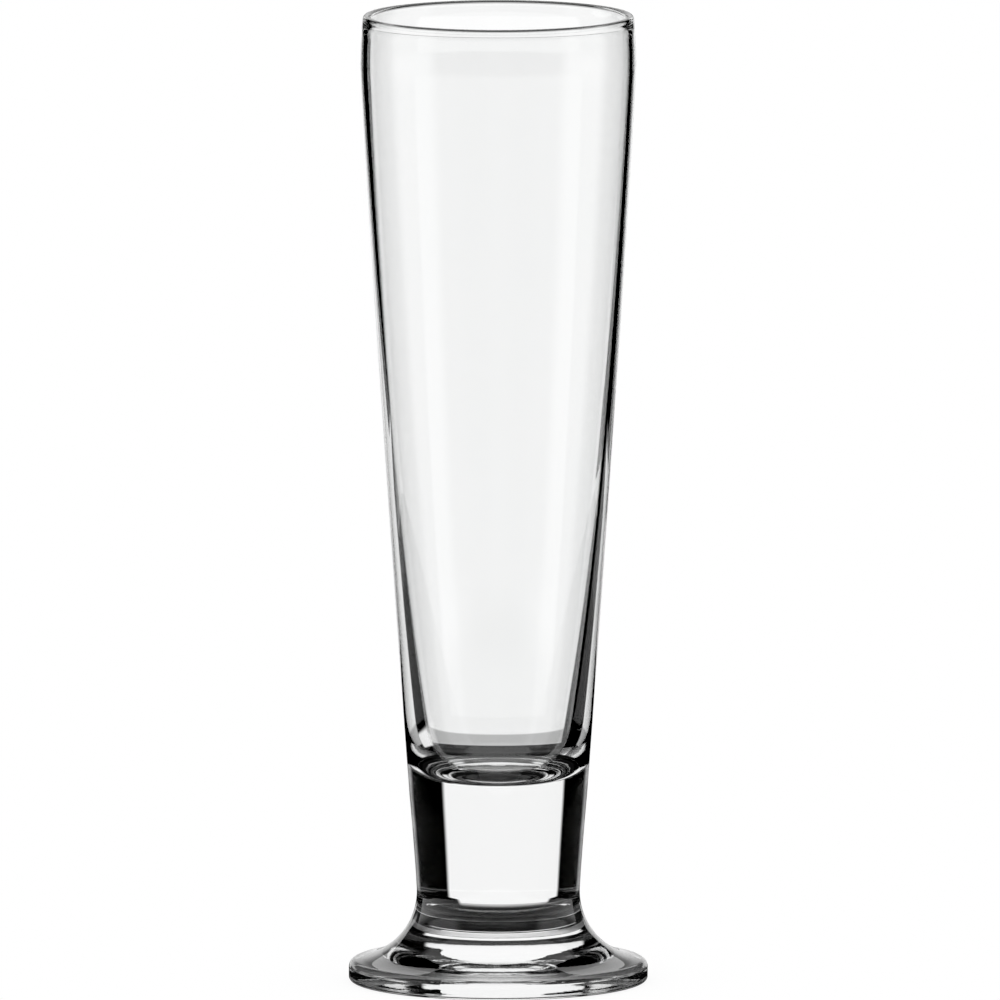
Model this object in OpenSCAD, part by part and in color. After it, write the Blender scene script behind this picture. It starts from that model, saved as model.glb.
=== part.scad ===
// Footed pilsner glass: a tapered drinking bowl, a short solid stem and a round foot, fused into one body of
// clear glass. Every piece is a solid of revolution about Z, and the foot stands on the plane z = 0.

/* [Overall] */
// Height of the whole glass
glass_h = 235; // [215:1:260]

/* [Foot] */
// Diameter of the foot
foot_d = 72.3; // [66:0.1:80]
// Height of the foot, up to the waist where the stem starts
foot_h = 21.7; // [17:0.1:26]
// Thickness of the foot at its edge
foot_edge_h = 5; // [4:0.1:6.5]
// Rounding of the foot's upper edge
edge_round_r = 1.9; // [0.8:0.1:2.2]
// Rounding of the foot's lower edge
base_round_r = 1; // [0.4:0.1:1.5]
// Diameter of the shallow hollow under the foot
recess_d = 50; // [40:1:60]
// Depth of the hollow under the foot, at its middle
recess_h = 1.7; // [0.6:0.1:2.5]

/* [Stem] */
// Diameter at the waist, where the stem is narrowest
waist_d = 39.4; // [34:0.2:41]
// Length of the solid stem between the foot and the bowl
stem_h = 23.3; // [16:0.1:30]

/* [Bowl] */
// Diameter of the bowl where it joins the stem
bowl_base_d = 42.9; // [42:0.1:48]
// Diameter of the bowl at its widest level
belly_d = 66.6; // [60:0.1:74]
// Distance from the rim down to the widest level
belly_drop = 13; // [8:0.5:24]
// Outer diameter of the rim
rim_d = 65.6; // [58:0.1:66]
// Thickness of the rounded bead on the rim
bead_d = 2.1; // [1.8:0.1:3]

/* [Inside] */
// Wall thickness at the bowl's widest level
wall_top_t = 1.6; // [1.2:0.1:1.8]
// Wall thickness where the rounded bottom of the hollow starts
wall_heel_t = 4.5; // [3:0.1:7]
// Glass between the lowest point of the hollow and the stem
bowl_floor_t = 4; // [2:0.1:8]
// Height of the rounded bottom of the hollow
hollow_round_h = 18.5; // [12:0.1:24]

/* [Hidden] */
// Power in the bowl's outline: 1 is a straight cone, and more bends it in towards the widest level
bowl_bend = 1.1;
// Power in the stem's outline, which leaves the waist upright and meets the bowl's slope
stem_bend = 1.2;
// Roundness of the hollow's bottom: 2 is an ellipse, and more has a flatter floor with a tighter heel
hollow_bend = 4.1;
// Power in the wall's thickness: more keeps the wall thin for longer before it thickens towards the heel
wall_bend = 3.5;
// Power in the hollow under the foot: 2 is an even dome, and more has a flatter roof with steeper sides
recess_bend = 3;
// Steps along the bowl's sides, along the stem, and round each arc
side_steps = 18;
stem_steps = 6;
arc_steps = 12;
round_steps = 6;
$fn = 96;
foot_r = foot_d / 2;
recess_r = recess_d / 2;
waist_r = waist_d / 2;
bowl_base_r = bowl_base_d / 2;
belly_r = belly_d / 2;
rim_r = rim_d / 2;
bead_r = bead_d / 2;
// The arc of the foot's top leaves the waist upright and runs level at the height of the foot's edge
flare_r = foot_h - foot_edge_h;
flare_x = waist_r + flare_r;
bowl_z = foot_h + stem_h;
belly_z = glass_h - belly_drop;
bead_z = glass_h - bead_r;
hollow_z = bowl_z + bowl_floor_t;
heel_z = hollow_z + hollow_round_h;

// Points of an arc about (cx, cz) from angle a0 to angle a1, in degrees
function arc(cx, cz, r, a0, a1, steps) =
    [for (i = [0 : steps]) let (a = a0 + (a1 - a0) * i / steps) [cx + r * cos(a), cz + r * sin(a)]];

// Outer radius of the bowl at height z: a bent taper up to the widest level, then a slight turn inwards
function bowl_r(z) =
    z < belly_z
    ? belly_r - (belly_r - bowl_base_r) * pow((belly_z - z) / (belly_z - bowl_z), bowl_bend)
    : belly_r - (belly_r - rim_r) * pow((z - belly_z) / (bead_z - belly_z), 2);

// Wall thickness at height z: even above the widest level, growing with a power of the depth below it
function wall_t(z) =
    wall_top_t + (wall_heel_t - wall_top_t) * pow(max(0, belly_z - z) / (belly_z - heel_z), wall_bend);

// Outer radius of the stem at height z
function stem_r(z) = waist_r + (bowl_base_r - waist_r) * pow((z - foot_h) / stem_h, stem_bend);

// Heights from a to b, evenly spaced
function levels(a, b, steps) = [for (i = [0 : steps]) a + (b - a) * i / steps];

module bowl() {
    taper = [for (z = levels(bowl_z, belly_z, side_steps)) [bowl_r(z), z]];
    lip = [for (z = levels(belly_z, bead_z, round_steps)) if (z > belly_z) [bowl_r(z), z]];
    wall = [for (z = levels(bead_z, heel_z, side_steps)) [bowl_r(z) - wall_t(z), z]];
    bottom = [for (i = [1 : arc_steps]) let (
        a = 90 * i / arc_steps,
        z = heel_z - hollow_round_h * pow(sin(a), 2 / hollow_bend)
    ) [(bowl_r(z) - wall_t(z)) * pow(cos(a), 2 / hollow_bend), z]];
    color([0.88, 0.93, 0.94, 0.45])
    rotate_extrude() {
        polygon(concat([[0, bowl_z]], taper, lip, wall, bottom));
        translate([rim_r - bead_r, bead_z]) circle(bead_r);
    }
}

module stem() {
    side = [for (z = levels(foot_h, bowl_z, stem_steps)) [stem_r(z), z]];
    color([0.82, 0.89, 0.91, 0.45])
    rotate_extrude() polygon(concat([[0, foot_h]], side, [[0, bowl_z]]));
}

// The foot's rounded upper edge touches both its upright edge and the arc of its top, so its centre is found
// from the distance between the two arcs' centres.
module foot() {
    edge_x = foot_r - edge_round_r;
    edge_z = foot_h - sqrt(pow(flare_r + edge_round_r, 2) - pow(max(0, flare_x - edge_x), 2));
    meet_a = atan2(foot_h - edge_z, max(0, flare_x - edge_x));
    hollow = [for (i = [0 : arc_steps]) let (s = i / arc_steps)
        [recess_r * s, recess_h * (1 - pow(s, recess_bend))]];
    color([0.85, 0.91, 0.93, 0.45])
    rotate_extrude() polygon(concat(
        hollow,
        arc(foot_r - base_round_r, base_round_r, base_round_r, -90, 0, round_steps),
        arc(edge_x, edge_z, edge_round_r, 0, meet_a, round_steps),
        arc(flare_x, foot_h, flare_r, 180 + meet_a, 180, arc_steps),
        [[0, foot_h]]
    ));
}

bowl();
stem();
foot();
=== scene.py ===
"""Footed pilsner glass: one body of clear glass against a bright backdrop, between dark side flags.

Metres, Z up, the foot resting on z = 0. The glass is three solids of revolution that meet face to face at
two flat joints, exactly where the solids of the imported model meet.
"""
import math

import bpy
import numpy as np
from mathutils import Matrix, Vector


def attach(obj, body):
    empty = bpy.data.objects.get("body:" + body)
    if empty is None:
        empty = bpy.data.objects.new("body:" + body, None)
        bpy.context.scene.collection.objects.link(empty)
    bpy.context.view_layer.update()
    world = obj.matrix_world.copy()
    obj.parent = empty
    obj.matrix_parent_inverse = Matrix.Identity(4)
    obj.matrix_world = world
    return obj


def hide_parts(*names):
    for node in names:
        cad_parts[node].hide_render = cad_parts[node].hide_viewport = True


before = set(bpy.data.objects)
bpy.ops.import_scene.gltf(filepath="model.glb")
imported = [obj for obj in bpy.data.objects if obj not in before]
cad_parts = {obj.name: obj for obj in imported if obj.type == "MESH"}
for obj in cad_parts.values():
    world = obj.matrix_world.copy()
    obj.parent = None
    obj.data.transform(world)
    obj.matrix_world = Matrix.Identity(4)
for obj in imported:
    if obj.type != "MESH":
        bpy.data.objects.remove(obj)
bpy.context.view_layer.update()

MM = 0.001
DEGREES = 180 / math.pi

# Sizes of the glass, as in the part's source
GLASS_HEIGHT = 235 * MM
FOOT_RADIUS = 36.15 * MM
FOOT_HEIGHT = 21.7 * MM
FOOT_EDGE_HEIGHT = 5 * MM
EDGE_ROUND = 1.9 * MM
BASE_ROUND = 1 * MM
RECESS_RADIUS = 25 * MM
RECESS_DEPTH = 1.7 * MM
RECESS_BEND = 3
WAIST_RADIUS = 19.7 * MM
STEM_HEIGHT = 23.3 * MM
STEM_BEND = 1.2
BOWL_BASE_RADIUS = 21.45 * MM
BELLY_RADIUS = 33.3 * MM
BELLY_DROP = 13 * MM
RIM_RADIUS = 32.8 * MM
BEAD_RADIUS = 1.05 * MM
BOWL_BEND = 1.1
WALL_AT_BELLY = 1.6 * MM
WALL_AT_HEEL = 4.5 * MM
WALL_BEND = 3.5
BOWL_FLOOR = 4 * MM
HOLLOW_ROUND_HEIGHT = 18.5 * MM
HOLLOW_BEND = 4.1

# The rim's bead ends this far round, in degrees, and runs into the inside of the wall over this height
BEAD_END = 210
BEAD_BLEND = 1.6 * MM

# The resting ring is worn dull out to this radius
WORN_RADIUS = 33 * MM

# Levels that follow from the sizes
BOWL_LEVEL = FOOT_HEIGHT + STEM_HEIGHT
BELLY_LEVEL = GLASS_HEIGHT - BELLY_DROP
BEAD_LEVEL = GLASS_HEIGHT - BEAD_RADIUS
HEEL_LEVEL = BOWL_LEVEL + BOWL_FLOOR + HOLLOW_ROUND_HEIGHT

# Facets round the glass, and points along each stretch of the outlines
FACETS = 320
WALL_POINTS = 80
LIP_POINTS = 14
BEAD_POINTS = 34
HOLLOW_POINTS = 90
STEM_POINTS = 40
RECESS_POINTS = 40
RING_POINTS = 12
BASE_ROUND_POINTS = 14
EDGE_ROUND_POINTS = 22
FLARE_POINTS = 70

# Edges that turn more than this, in degrees, are shaded sharp
SHARP_BEND = 50

# Slight waves that pressing and fire polishing leave: turns round the glass, height of one wave, phase and
# depth
WAVES = [
    (2, 0.310, 0.4, 0.020 * MM),
    (3, 0.170, 2.1, 0.012 * MM),
    (5, 0.095, 4.4, 0.006 * MM),
]


# Outlines of the glass

def bowl_radius(z):
    """Outer radius of the bowl: a taper with a power of the depth below the widest level, and above that a
    slight turn inwards with the square of the height."""
    below = np.clip((BELLY_LEVEL - z) / (BELLY_LEVEL - BOWL_LEVEL), 0, None)
    above = np.clip((z - BELLY_LEVEL) / (BEAD_LEVEL - BELLY_LEVEL), 0, None)
    taper = (BELLY_RADIUS - BOWL_BASE_RADIUS) * below ** BOWL_BEND
    lip = (BELLY_RADIUS - RIM_RADIUS) * above ** 2
    return BELLY_RADIUS - taper - lip


def hollow_radius(z):
    """Inner radius of the bowl: the outer radius less the wall, which is even at the top and grows with a
    power of the depth below the belly."""
    depth = np.clip(BELLY_LEVEL - z, 0, None) / (BELLY_LEVEL - HEEL_LEVEL)
    wall = WALL_AT_BELLY + (WALL_AT_HEEL - WALL_AT_BELLY) * depth ** WALL_BEND
    return bowl_radius(z) - wall


def stem_radius(z):
    """Outer radius of the stem: upright at the waist, bending out to meet the bowl."""
    share = np.clip((z - FOOT_HEIGHT) / STEM_HEIGHT, 0, 1)
    return WAIST_RADIUS + (BOWL_BASE_RADIUS - WAIST_RADIUS) * share ** STEM_BEND


def arc(x, z, radius, start, end, points):
    """Points (r, z) of an arc about (x, z) between two angles in degrees."""
    angle = np.radians(np.linspace(start, end, points))
    return np.stack([x + radius * np.cos(angle), z + radius * np.sin(angle)], axis=1)


def column(radius_of, low, high, points):
    """Points (r, z) up or down a side whose radius is a function of the height."""
    z = np.linspace(low, high, points)
    return np.stack([radius_of(z), z], axis=1)


def bowl_outline():
    """The bowl's section, from the joint's centre out, up, over the rim and down the inside to the axis. At
    the bottom of the hollow the depth follows the sine and the radius the cosine of one angle, both to the
    same power."""
    taper = column(bowl_radius, BOWL_LEVEL, BELLY_LEVEL, WALL_POINTS)
    lip = column(bowl_radius, BELLY_LEVEL, BEAD_LEVEL, LIP_POINTS)
    bead = arc(RIM_RADIUS - BEAD_RADIUS, BEAD_LEVEL, BEAD_RADIUS, 0, BEAD_END, BEAD_POINTS)
    inside = column(hollow_radius, bead[-1, 1] - BEAD_BLEND, HEEL_LEVEL, WALL_POINTS)
    angle = np.linspace(0, np.pi / 2, HOLLOW_POINTS)
    z = HEEL_LEVEL - HOLLOW_ROUND_HEIGHT * np.sin(angle) ** (2 / HOLLOW_BEND)
    r = hollow_radius(z) * np.clip(np.cos(angle), 0, 1) ** (2 / HOLLOW_BEND)
    r[-1] = 0
    bottom = np.stack([r, z], axis=1)
    return np.concatenate([[[0, BOWL_LEVEL]], taper, lip[1:], bead[1:], inside, bottom[1:]])


def stem_outline():
    """The stem's section, from the lower joint's centre out, up and back to the axis."""
    side = column(stem_radius, FOOT_HEIGHT, BOWL_LEVEL, STEM_POINTS)
    return np.concatenate([[[0, FOOT_HEIGHT]], side, [[0, BOWL_LEVEL]]])


def foot_outline():
    """The foot's section: the hollow underneath, whose depth falls with a power of the radius, the resting
    ring, the edge and the arc up to the waist, which the edge's rounding touches."""
    share = np.linspace(0, 1, RECESS_POINTS)
    hollow = np.stack([RECESS_RADIUS * share, RECESS_DEPTH * (1 - share ** RECESS_BEND)], axis=1)
    ring_x = np.linspace(RECESS_RADIUS, FOOT_RADIUS - BASE_ROUND, RING_POINTS)
    resting = np.stack([ring_x, np.zeros(RING_POINTS)], axis=1)
    flare = FOOT_HEIGHT - FOOT_EDGE_HEIGHT
    flare_x = WAIST_RADIUS + flare
    edge_x = FOOT_RADIUS - EDGE_ROUND
    offset = max(0.0, flare_x - edge_x)
    edge_z = FOOT_HEIGHT - math.sqrt((flare + EDGE_ROUND) ** 2 - offset ** 2)
    meet = math.degrees(math.atan2(FOOT_HEIGHT - edge_z, offset))
    under = arc(FOOT_RADIUS - BASE_ROUND, BASE_ROUND, BASE_ROUND, -90, 0, BASE_ROUND_POINTS)
    upper = arc(edge_x, edge_z, EDGE_ROUND, 0, meet, EDGE_ROUND_POINTS)
    top = arc(flare_x, FOOT_HEIGHT, flare, 180 + meet, 180, FLARE_POINTS)
    return np.concatenate([hollow, resting[1:], under[1:], upper, top[1:], [[0, FOOT_HEIGHT]]])


# Surfaces

def waviness(turn, z):
    """Radial waves: a sum of cosines of the turn and the height, each with its own phase and depth."""
    total = np.zeros_like(turn)
    for turns, height, phase, depth in WAVES:
        total += depth * np.cos(turns * turn + 2 * np.pi * z / height + phase)
    return total


def ring_faces(rows):
    """Faces of a closed solid of revolution: triangles round the first centre point, four-sided faces
    between neighbouring rings, and triangles round the last centre point."""
    j = np.arange(FACETS)
    beside = (j + 1) % FACETS
    start = 1 + np.arange(rows - 1)[:, None] * FACETS
    between = np.stack([start + j, start + beside, start + beside + FACETS, start + j + FACETS], axis=-1)
    last_ring = 1 + (rows - 1) * FACETS
    first = np.stack([0 * j, 1 + beside, 1 + j], axis=-1)
    last = np.stack([0 * j + last_ring + FACETS, last_ring + j, last_ring + beside], axis=-1)
    return first.tolist() + between.reshape(-1, 4).tolist() + last.tolist()


def revolve(name, outline, finish_of, finishes):
    """A closed solid of revolution. The point at turn t on a ring is (r cos t, r sin t, z), with r made wavy
    in proportion to the radius; the first and last points lie on the axis."""
    turn = np.linspace(0, 2 * np.pi, FACETS, endpoint=False)
    r = outline[1:-1, :1]
    z = outline[1:-1, 1:] + 0 * turn
    t = turn + 0 * r
    r = r + waviness(t, z) * r / FOOT_RADIUS
    rings = np.stack([r * np.cos(t), r * np.sin(t), z], axis=-1).reshape(-1, 3)
    points = np.concatenate([[[0, 0, outline[0, 1]]], rings, [[0, 0, outline[-1, 1]]]])
    mesh = bpy.data.meshes.new(name)
    mesh.from_pydata(points.tolist(), [], ring_faces(len(outline) - 2))
    finish = [finish_of(a, b) for a, b in zip(outline[:-1], outline[1:])]
    finish = np.repeat(np.array(finish, dtype=np.int32), FACETS)
    for material in finishes:
        mesh.materials.append(material)
    mesh.polygons.foreach_set("material_index", finish)
    mesh.polygons.foreach_set("use_smooth", np.ones(len(finish), dtype=bool))
    mesh.update()
    mesh.set_sharp_from_angle(angle=math.radians(SHARP_BEND))
    piece = bpy.data.objects.new(name, mesh)
    bpy.context.scene.collection.objects.link(piece)
    return piece


# Short calls for nodes

WHITE = (1.0, 1.0, 1.0, 1.0)


class Net:
    """A material's or world's node tree, with short calls to add and join nodes."""

    def __init__(self, owner):
        owner.use_nodes = True
        self.tree = owner.node_tree
        self.tree.nodes.clear()

    def add(self, kind, **settings):
        """A new node with these settings."""
        node = self.tree.nodes.new(kind)
        for key, value in settings.items():
            setattr(node, key, value)
        return node

    def join(self, source, target):
        """A link from an output to an input, or a plain value set on the input."""
        if isinstance(source, bpy.types.NodeSocket):
            self.tree.links.new(source, target)
        else:
            target.default_value = source

    def math(self, operation, *values):
        """The result of one calculation."""
        node = self.add("ShaderNodeMath", operation=operation)
        for value, socket in zip(values, node.inputs):
            self.join(value, socket)
        return node.outputs[0]

    def ramp(self, value, start, end, low=0.0, high=1.0):
        """Smoothly from low to high as the value goes from start to end."""
        node = self.add("ShaderNodeMapRange", interpolation_type="SMOOTHSTEP")
        names = ("Value", "From Min", "From Max", "To Min", "To Max")
        for source, name in zip((value, start, end, low, high), names):
            self.join(source, node.inputs[name])
        return node.outputs["Result"]

    def noise(self, scale, detail=2.0):
        """Noise on the piece's own coordinates, in waves per metre."""
        place = self.add("ShaderNodeTexCoord")
        node = self.add("ShaderNodeTexNoise")
        self.join(place.outputs["Object"], node.inputs["Vector"])
        node.inputs["Scale"].default_value = scale
        node.inputs["Detail"].default_value = detail
        return node.outputs["Fac"]

    def coordinates(self, kind):
        """The x, y and z of one kind of coordinates."""
        place = self.add("ShaderNodeTexCoord")
        parts = self.add("ShaderNodeSeparateXYZ")
        self.join(place.outputs[kind], parts.inputs[0])
        return parts.outputs

    def distance(self, x, y):
        """The square root of x squared plus y squared."""
        squares = self.math("ADD", self.math("MULTIPLY", x, x), self.math("MULTIPLY", y, y))
        return self.math("SQRT", squares)

    def seen_plainly(self, path):
        """One for what the camera sees directly and for scattered light, otherwise zero."""
        return self.math("MAXIMUM", path.outputs["Is Camera Ray"], path.outputs["Is Diffuse Ray"])


def new_material(name):
    """A material with an empty node tree: itself, its net and the socket that its surface goes to."""
    material = bpy.data.materials.new(name)
    net = Net(material)
    return material, net, net.add("ShaderNodeOutputMaterial").inputs["Surface"]


# Finishes of the glass

# How much glass bends light, its faintest green, the waves per metre of its tint and of its wear, and the
# stretch of the wear's noise over which the roughness goes from its low to its high value
REFRACTION = 1.52
FAINT_GREEN = (0.985, 0.992, 0.990, 1.0)
TINT_SCALE = 35.0
WEAR_SCALE = 60.0
WEAR_RANGE = (0.3, 0.7)


def glass(name, rough, ripple, ripple_scale):
    """Clear soda-lime glass. Its tint, its roughness between two values and its ripple, of a given depth and
    waves per metre, follow noise on the piece's own coordinates."""
    material, net, surface = new_material(name)
    body = net.add("ShaderNodeBsdfPrincipled")
    body.inputs["Transmission Weight"].default_value = 1.0
    body.inputs["IOR"].default_value = REFRACTION
    tint = net.add("ShaderNodeMix", data_type="RGBA")
    net.join(net.noise(TINT_SCALE), tint.inputs["Factor"])
    net.join(FAINT_GREEN, tint.inputs["A"])
    net.join(WHITE, tint.inputs["B"])
    net.join(tint.outputs["Result"], body.inputs["Base Color"])
    net.join(net.ramp(net.noise(WEAR_SCALE), *WEAR_RANGE, *rough), body.inputs["Roughness"])
    bump = net.add("ShaderNodeBump")
    net.join(net.noise(ripple_scale), bump.inputs["Height"])
    bump.inputs["Strength"].default_value = 1.0
    bump.inputs["Distance"].default_value = ripple
    net.join(bump.outputs["Normal"], body.inputs["Normal"])
    net.join(body.outputs["BSDF"], surface)
    return material


def fused_joint():
    """Where two pieces are one body of glass, light goes straight on."""
    material, net, surface = new_material("fused joint")
    clear = net.add("ShaderNodeBsdfTransparent")
    net.join(WHITE, clear.inputs["Color"])
    net.join(clear.outputs["BSDF"], surface)
    return material


# The three pieces

# The finishes by number: for each glass its lowest and highest roughness, and its ripple's depth and waves
# per metre
POLISHED, JOINT, PRESSED, STIPPLED = 0, 1, 2, 3
finishes = [
    glass("polished glass", (0.0, 0.004), 0.002 * MM, 70.0),
    fused_joint(),
    glass("pressed glass", (0.3, 0.45), 0.02 * MM, 900.0),
    glass("stippled glass", (0.0, 0.03), 0.012 * MM, 900.0),
]


def bowl_finish(a, b):
    """The joint's face lies at the bowl's foot; the rest is fire polished."""
    return JOINT if max(a[1], b[1]) <= BOWL_LEVEL else POLISHED


def stem_finish(a, b):
    """Both of the stem's flat ends are joints."""
    return JOINT if min(a[0], b[0]) == 0 else POLISHED


def foot_finish(a, b):
    """The foot's top end is a joint. Underneath, the hollow is stippled and the resting ring worn dull."""
    if min(a[0], b[0]) == 0 and a[1] > RECESS_DEPTH:
        return JOINT
    if max(a[0], b[0]) <= RECESS_RADIUS and max(a[1], b[1]) <= RECESS_DEPTH:
        return STIPPLED
    return PRESSED if max(a[1], b[1]) <= 0 and b[0] < WORN_RADIUS else POLISHED


for node, outline, finish_of in (
    ("bowl", bowl_outline(), bowl_finish),
    ("stem", stem_outline(), stem_finish),
    ("foot", foot_outline(), foot_finish),
):
    piece = revolve(node + "_glass", outline, finish_of, finishes)
    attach(piece, "root")
    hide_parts(node)


# The studio's light, by the direction that it comes from

# The backdrop behind the glass: its brightness at the lowest elevation, and then from, to and new
# brightness, in degrees of elevation
BACKDROP_START = 0.15
BACKDROP_CHANGES = [
    (-60, -45, 0.05),
    (-42, -32, 0.0),
    (-30.3, -29, 0.55),
    (-19.3, -18.3, 1.0),
    (48, 60, 0.9),
]
# The backdrop's middle, its half width where the stem and the foot look at it and where the bowl does, the
# elevations between which it widens, and how soft its sides are, in degrees
BACKDROP_AZIMUTH = -4
BACKDROP_HALF_WIDTHS = (25.5, 32.0)
BACKDROP_WIDENS = (-12.5, -11)
BACKDROP_SOFTNESS = 1.5
# The cards at both sides, the low card behind on the left and the room in front, which the other views see
# through the glass: azimuth, half width, lowest and highest elevation and softness in degrees, and
# brightness
CARDS = [
    (-96, 24, -9, 40, 8, 0.9),
    (96, 24, -9, 40, 8, 0.9),
    (-52, 22, -34, -22.5, 1, 1),
    (180, 78, -23, -6, 1.5, 1),
]
# The light overhead comes in between two elevations, up to a brightness
OVERHEAD = (43, 50)
OVERHEAD_BRIGHTNESS = 0.9
# The outside of the glass mirrors the backdrop and the cards only above the horizon: they come in between
# these elevations
MIRRORED = (0, 5)
# The limits that keep the calculations of angles away from a division by zero and from a cosine of one
LEAST_ACROSS = 1e-4
MOST_COSINE = 0.99999


def panel(net, x, y, across, azimuth, half_width, soft):
    """One where the direction lies within half_width degrees of an azimuth, counted from +Y towards +X: the
    angle is the arc cosine of the level part of the direction along the azimuth, over its length."""
    turn = math.radians(azimuth)
    sideways = net.math("MULTIPLY", x, math.sin(turn))
    forward = net.math("MULTIPLY", y, math.cos(turn))
    cosine = net.math("DIVIDE", net.math("ADD", sideways, forward), across)
    cosine = net.math("MINIMUM", net.math("MAXIMUM", cosine, -MOST_COSINE), MOST_COSINE)
    angle = net.math("MULTIPLY", net.math("ARCCOSINE", cosine), DEGREES)
    return net.ramp(net.math("SUBTRACT", angle, half_width), -soft, soft, 1.0, 0.0)


def steps(net, elevation, first, changes):
    """A value that starts at first and changes to each new value between two elevations."""
    total, current = first, first
    for start, end, value in changes:
        total = net.math("ADD", total, net.ramp(elevation, start, end, 0.0, value - current))
        current = value
    return total


def card(net, x, y, across, elevation, azimuth, half_width, low, high, soft, value):
    """The brightness of one card: its value inside its sides and its two edges, otherwise zero."""
    bottom = net.ramp(elevation, low - soft, low + soft)
    top = net.ramp(elevation, high - soft, high + soft, 1.0, 0.0)
    side = net.math("MULTIPLY", panel(net, x, y, across, azimuth, half_width, soft), value)
    return net.math("MULTIPLY", net.math("MULTIPLY", bottom, top), side)


def light_studio():
    """The world's light. The camera and scattered light see plain white; only light that has passed through
    the glass, or that its outside mirrors above the horizon, sees the backdrop and the cards."""
    world = bpy.data.worlds.new("studio")
    bpy.context.scene.world = world
    world.cycles.sampling_method = "NONE"
    net = Net(world)
    x, y, z = net.coordinates("Generated")
    across = net.math("MAXIMUM", net.distance(x, y), LEAST_ACROSS)
    elevation = net.math("MULTIPLY", net.math("ARCTAN2", z, across), DEGREES)
    path = net.add("ShaderNodeLightPath")
    half_width = net.ramp(elevation, *BACKDROP_WIDENS, *BACKDROP_HALF_WIDTHS)
    sides = panel(net, x, y, across, BACKDROP_AZIMUTH, half_width, BACKDROP_SOFTNESS)
    behind = net.math("MULTIPLY", steps(net, elevation, BACKDROP_START, BACKDROP_CHANGES), sides)
    for settings in CARDS:
        behind = net.math("MAXIMUM", behind, card(net, x, y, across, elevation, *settings))
    mirrored = net.math("MULTIPLY", path.outputs["Is Glossy Ray"], net.ramp(elevation, *MIRRORED))
    through = net.math("MAXIMUM", path.outputs["Is Transmission Ray"], mirrored)
    behind = net.math("MULTIPLY", behind, through)
    above = net.ramp(elevation, *OVERHEAD, 0.0, OVERHEAD_BRIGHTNESS)
    back = net.add("ShaderNodeBackground")
    net.join(WHITE, back.inputs["Color"])
    total = net.math("MAXIMUM", net.math("MAXIMUM", behind, above), net.seen_plainly(path))
    net.join(total, back.inputs["Strength"])
    net.join(back.outputs[0], net.add("ShaderNodeOutputWorld").inputs["Surface"])


light_studio()


# The studio's sheets

# Dark flags behind the glass, which draw the dark lines along the walls, in metres: how far behind they hang
# and how high they reach, and for each how far out it reaches and the places (across, up) down its inner
# edge. They end above what the stem looks at.
FLAG_DISTANCE = 0.3
FLAG_TOP = 0.5
LEFT_OUT = -0.27
LEFT_EDGE = [(-0.106, 0.176), (-0.123, 0.15), (-0.139, 0.117), (-0.186, 0.064)]
RIGHT_OUT = 0.26
RIGHT_EDGE = [(0.126, 0.176), (0.12, 0.15), (0.1, 0.09), (0.106, 0.064)]

# The white surround a metre out, open where the dark lines are: the stretch behind the glass and the stretch
# round its sides and front, each as first angle, last angle and number of uprights. Its lower edge slants so
# that the stem's mirror image passes under it: a height plus a swing times the cosine of the turn, kept
# under a limit.
SURROUND_STRETCHES = [(-22, 22, 12), (52, 314, 66)]
SURROUND_LOW = -0.13
SURROUND_SWING = 0.11
SURROUND_LOW_LIMIT = -0.075
SURROUND_TOP = 0.3

# The surround's brightness fades between two heights to a lower one at its top, and between two depths to a
# share of it at its front
FADE_HEIGHTS = (0.13, 0.3)
FADE_DEPTHS = (-1.0, 0.4)
SURROUND_AT_TOP = 0.2
SURROUND_AT_FRONT = 0.4

# The floor: its half size, how far it lies under the glass, how far the contact shadow reaches and how
# bright it is at its darkest, the radii between which the painted shadow under the foot ends, and that
# painted shadow's brightness
FLOOR_HALF = 12.0
FLOOR_DROP = 0.1 * MM
CONTACT_REACH = 60 * MM
CONTACT_BRIGHTNESS = 0.9
# The dark patch is painted shadow: the glass's own shadow on the floor, drawn as a near-black disc
PAINTED_SHADOW_EDGE = (50 * MM, 68 * MM)
PAINTED_SHADOW_BRIGHTNESS = 0.005

UNSEEN = {"visible_camera": False, "visible_diffuse": False, "visible_shadow": False}


def sheet(name, corners, faces, material, **seen):
    """A flat or bent sheet of the studio; seen says which kinds of light path don't meet it."""
    mesh = bpy.data.meshes.new(name)
    mesh.from_pydata(corners, [], faces)
    mesh.materials.append(material)
    thing = bpy.data.objects.new(name, mesh)
    bpy.context.scene.collection.objects.link(thing)
    for key, value in seen.items():
        setattr(thing, key, value)


def lit(name, bright, top, front):
    """A sheet that shines: its brightness goes from bright to top with the height, times a share that goes
    from front to one towards the back."""
    material, net, surface = new_material(name)
    parts = net.coordinates("Object")
    upwards = net.ramp(parts["Z"], *FADE_HEIGHTS, bright, top)
    backwards = net.ramp(parts["Y"], *FADE_DEPTHS, front, 1.0)
    glow = net.add("ShaderNodeEmission")
    net.join(net.math("MULTIPLY", upwards, backwards), glow.inputs["Strength"])
    net.join(glow.outputs[0], surface)
    return material


def hang_flag(name, edge, outer, velvet):
    """A flat flag: a face down its inner edge from the top, out along the bottom and up its outer side."""
    outline = [(edge[0][0], FLAG_TOP)] + edge + [(outer, edge[-1][1]), (outer, FLAG_TOP)]
    corners = [(across, FLAG_DISTANCE, high) for across, high in outline]
    sheet(name, corners, [tuple(range(len(corners)))], velvet, **UNSEEN)


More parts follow.
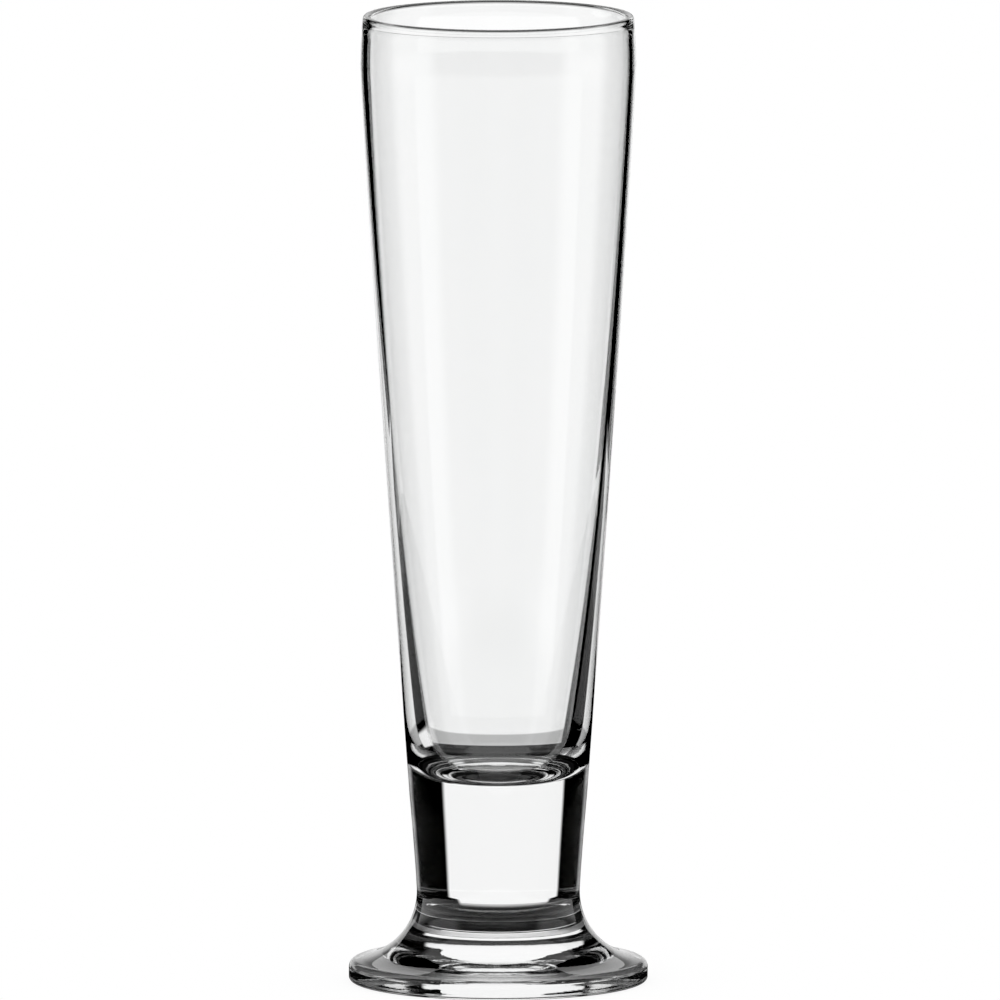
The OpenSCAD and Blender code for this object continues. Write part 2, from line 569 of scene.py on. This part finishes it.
def stand_surround():
    """The white surround: uprights at (sin t, cos t) for each turn t, joined side by side in a stretch."""
    turn = np.radians(np.concatenate([np.linspace(*stretch) for stretch in SURROUND_STRETCHES]))
    edge = np.minimum(SURROUND_LOW + SURROUND_SWING * np.cos(turn), SURROUND_LOW_LIMIT)
    low = np.stack([np.sin(turn), np.cos(turn), edge], axis=1)
    high = np.stack([np.sin(turn), np.cos(turn), SURROUND_TOP + 0 * turn], axis=1)
    i = np.delete(np.arange(len(turn) - 1), SURROUND_STRETCHES[0][2] - 1)
    faces = np.stack([i, i + 1, i + 1 + len(turn), i + len(turn)], axis=1)
    corners = np.concatenate([low, high])
    paper = lit("white surround", 1.0, SURROUND_AT_TOP, SURROUND_AT_FRONT)
    sheet("surround", corners.tolist(), faces.tolist(), paper, visible_transmission=False, **UNSEEN)


def lay_floor():
    """The floor: white to the camera, with a faint contact shadow. Light inside the glass sees a painted
    shadow, a dark patch that the foot stands in, and beyond it, through the floor, the backdrop."""
    material, net, surface = new_material("white floor")
    contact = net.add("ShaderNodeAmbientOcclusion")
    contact.inputs["Distance"].default_value = CONTACT_REACH
    glow = net.add("ShaderNodeEmission")
    shadow = net.ramp(contact.outputs["AO"], 0.0, 1.0, CONTACT_BRIGHTNESS, 1.0)
    net.join(shadow, glow.inputs["Strength"])
    place = net.coordinates("Object")
    # Painted shadow: a near-black patch under the foot stands in for the glass's own shadow on the floor,
    # for light inside the glass
    dark = net.add("ShaderNodeEmission")
    net.join(PAINTED_SHADOW_BRIGHTNESS, dark.inputs["Strength"])
    clear = net.add("ShaderNodeBsdfTransparent")
    net.join(WHITE, clear.inputs["Color"])
    under = net.add("ShaderNodeMixShader")
    net.join(net.ramp(net.distance(place["X"], place["Y"]), *PAINTED_SHADOW_EDGE), under.inputs[0])
    net.join(dark.outputs[0], under.inputs[1])
    net.join(clear.outputs[0], under.inputs[2])
    mix = net.add("ShaderNodeMixShader")
    net.join(net.seen_plainly(net.add("ShaderNodeLightPath")), mix.inputs[0])
    net.join(under.outputs[0], mix.inputs[1])
    net.join(glow.outputs[0], mix.inputs[2])
    net.join(mix.outputs[0], surface)
    signs = ((-1, -1), (1, -1), (1, 1), (-1, 1))
    corners = [(x * FLOOR_HALF, y * FLOOR_HALF, -FLOOR_DROP) for x, y in signs]
    sheet("floor", corners, [(0, 1, 2, 3)], material)


# The velvet is a sheet that shines not at all
velvet = lit("black velvet", 0.0, 0.0, 1.0)
hang_flag("left_flag", LEFT_EDGE, LEFT_OUT, velvet)
hang_flag("right_flag", RIGHT_EDGE, RIGHT_OUT, velvet)
stand_surround()
lay_floor()


# The camera, fitted to the photograph's outline: it looks along +Y and a little down. Its sensor and lens
# are in millimetres, its place in metres and its tilt in radians.

SENSOR_WIDTH = 36
FOCAL_LENGTH = 1191.85
SIDE_SHIFT = 0.0017
FARTHEST = 100
DISTANCE = 8
AIM = Vector((0, 0, 117.04 * MM))
TILT = math.radians(7.378)


def set_camera():
    """The camera, back from its aim by the distance, against the direction that it looks in."""
    camera = bpy.data.objects.new("camera", bpy.data.cameras.new("camera"))
    bpy.context.scene.collection.objects.link(camera)
    bpy.context.scene.camera = camera
    camera.data.sensor_width = SENSOR_WIDTH
    camera.data.lens = FOCAL_LENGTH
    camera.data.shift_x = SIDE_SHIFT
    camera.data.clip_end = FARTHEST
    look = Vector((0, math.cos(TILT), -math.sin(TILT)))
    camera.location = AIM - look * DISTANCE
    camera.rotation_euler = look.to_track_quat("-Z", "Y").to_euler()


set_camera()
bpy.context.scene.view_settings.view_transform = "Standard"
